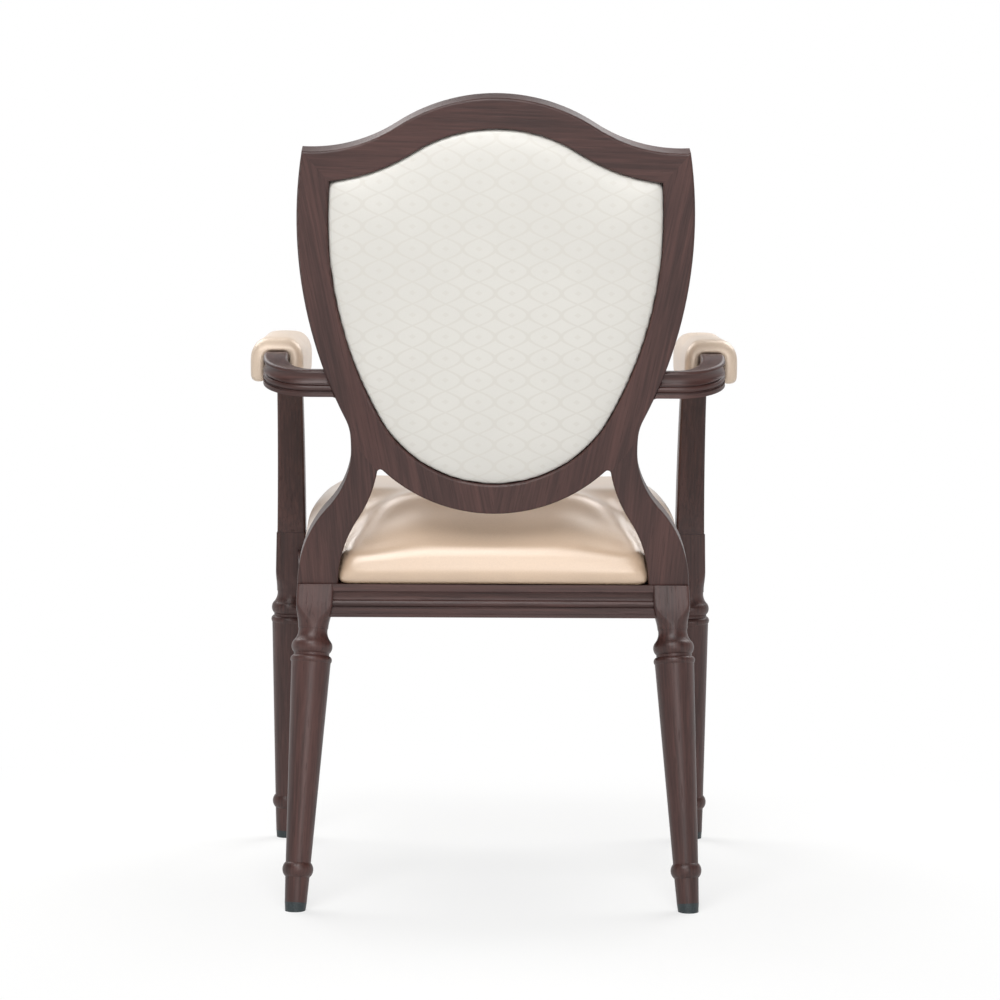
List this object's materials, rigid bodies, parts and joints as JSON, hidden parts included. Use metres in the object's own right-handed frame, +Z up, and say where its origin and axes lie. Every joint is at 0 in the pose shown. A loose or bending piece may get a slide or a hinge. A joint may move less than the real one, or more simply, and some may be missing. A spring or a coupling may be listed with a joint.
{
  "type": "armchair",
  "caption": "Shield-back dining armchair: a wood-grain metal frame on turned legs, with a crowned vinyl seat, padded back panels and saddle arm pads.",
  "frame": {"origin": "on the floor, under the middle of the chair's bounding box", "axes": "+Z up, -Y the way the sitter faces, +X to the sitter's left"},
  "size_m": [0.605, 0.5846, 1.0001],
  "materials": {
    "wood_grain": "dark walnut wood-grain print on aluminium under a satin clear coat",
    "brown_coat": "plain dark brown powder coat on aluminium, on the hidden plates",
    "seat_vinyl": "pearl champagne vinyl, soft sheen",
    "arm_vinyl": "pearl cream vinyl, soft sheen",
    "back_vinyl": "off-white vinyl with a faint tonal trellis, soft sheen",
    "foam": "open-cell polyurethane foam",
    "plywood": "raw plywood",
    "hardboard": "raw hardboard",
    "dust_cloth": "black non-woven cloth",
    "steel": "zinc-plated steel",
    "clip_plastic": "natural nylon",
    "glide_plastic": "blue-black moulded plastic"
  },
  "bodies": {
    "root": {"arm_pad_board_left": "plywood", "arm_pad_board_right": "plywood", "arm_pad_cover_left": "arm_vinyl", "arm_pad_cover_right": "arm_vinyl", "arm_pad_foam_left": "foam", "arm_pad_foam_right": "foam", "arm_pad_screws": "steel", "arm_post_left": "wood_grain", "arm_post_right": "wood_grain", "arm_rail_left": "wood_grain", "arm_rail_right": "wood_grain", "back_clips": "clip_plastic", "back_front_board": "plywood", "back_front_cover": "seat_vinyl", "back_front_foam": "foam", "back_rear_board": "hardboard", "back_rear_cover": "back_vinyl", "back_rear_foam": "foam", "back_screws": "steel", "back_stile_left": "wood_grain", "back_stile_right": "wood_grain", "back_tabs": "brown_coat", "crest_rail": "wood_grain", "front_leg_left": "wood_grain", "front_leg_right": "wood_grain", "front_seat_rail": "wood_grain", "glide_front_left": "glide_plastic", "glide_front_right": "glide_plastic", "glide_rear_left": "glide_plastic", "glide_rear_right": "glide_plastic", "gusset_front_left": "brown_coat", "gusset_front_right": "brown_coat", "gusset_rear_left": "brown_coat", "gusset_rear_right": "brown_coat", "rear_leg_left": "wood_grain", "rear_leg_right": "wood_grain", "rear_seat_rail": "wood_grain", "seat_board": "plywood", "seat_bolts": "steel", "seat_cover": "seat_vinyl", "seat_dust_cover": "dust_cloth", "seat_foam": "foam", "seat_tee_nuts": "steel", "shield_side_left": "wood_grain", "shield_side_right": "wood_grain", "side_seat_rail_left": "wood_grain", "side_seat_rail_right": "wood_grain"}
  },
  "joints": []
}
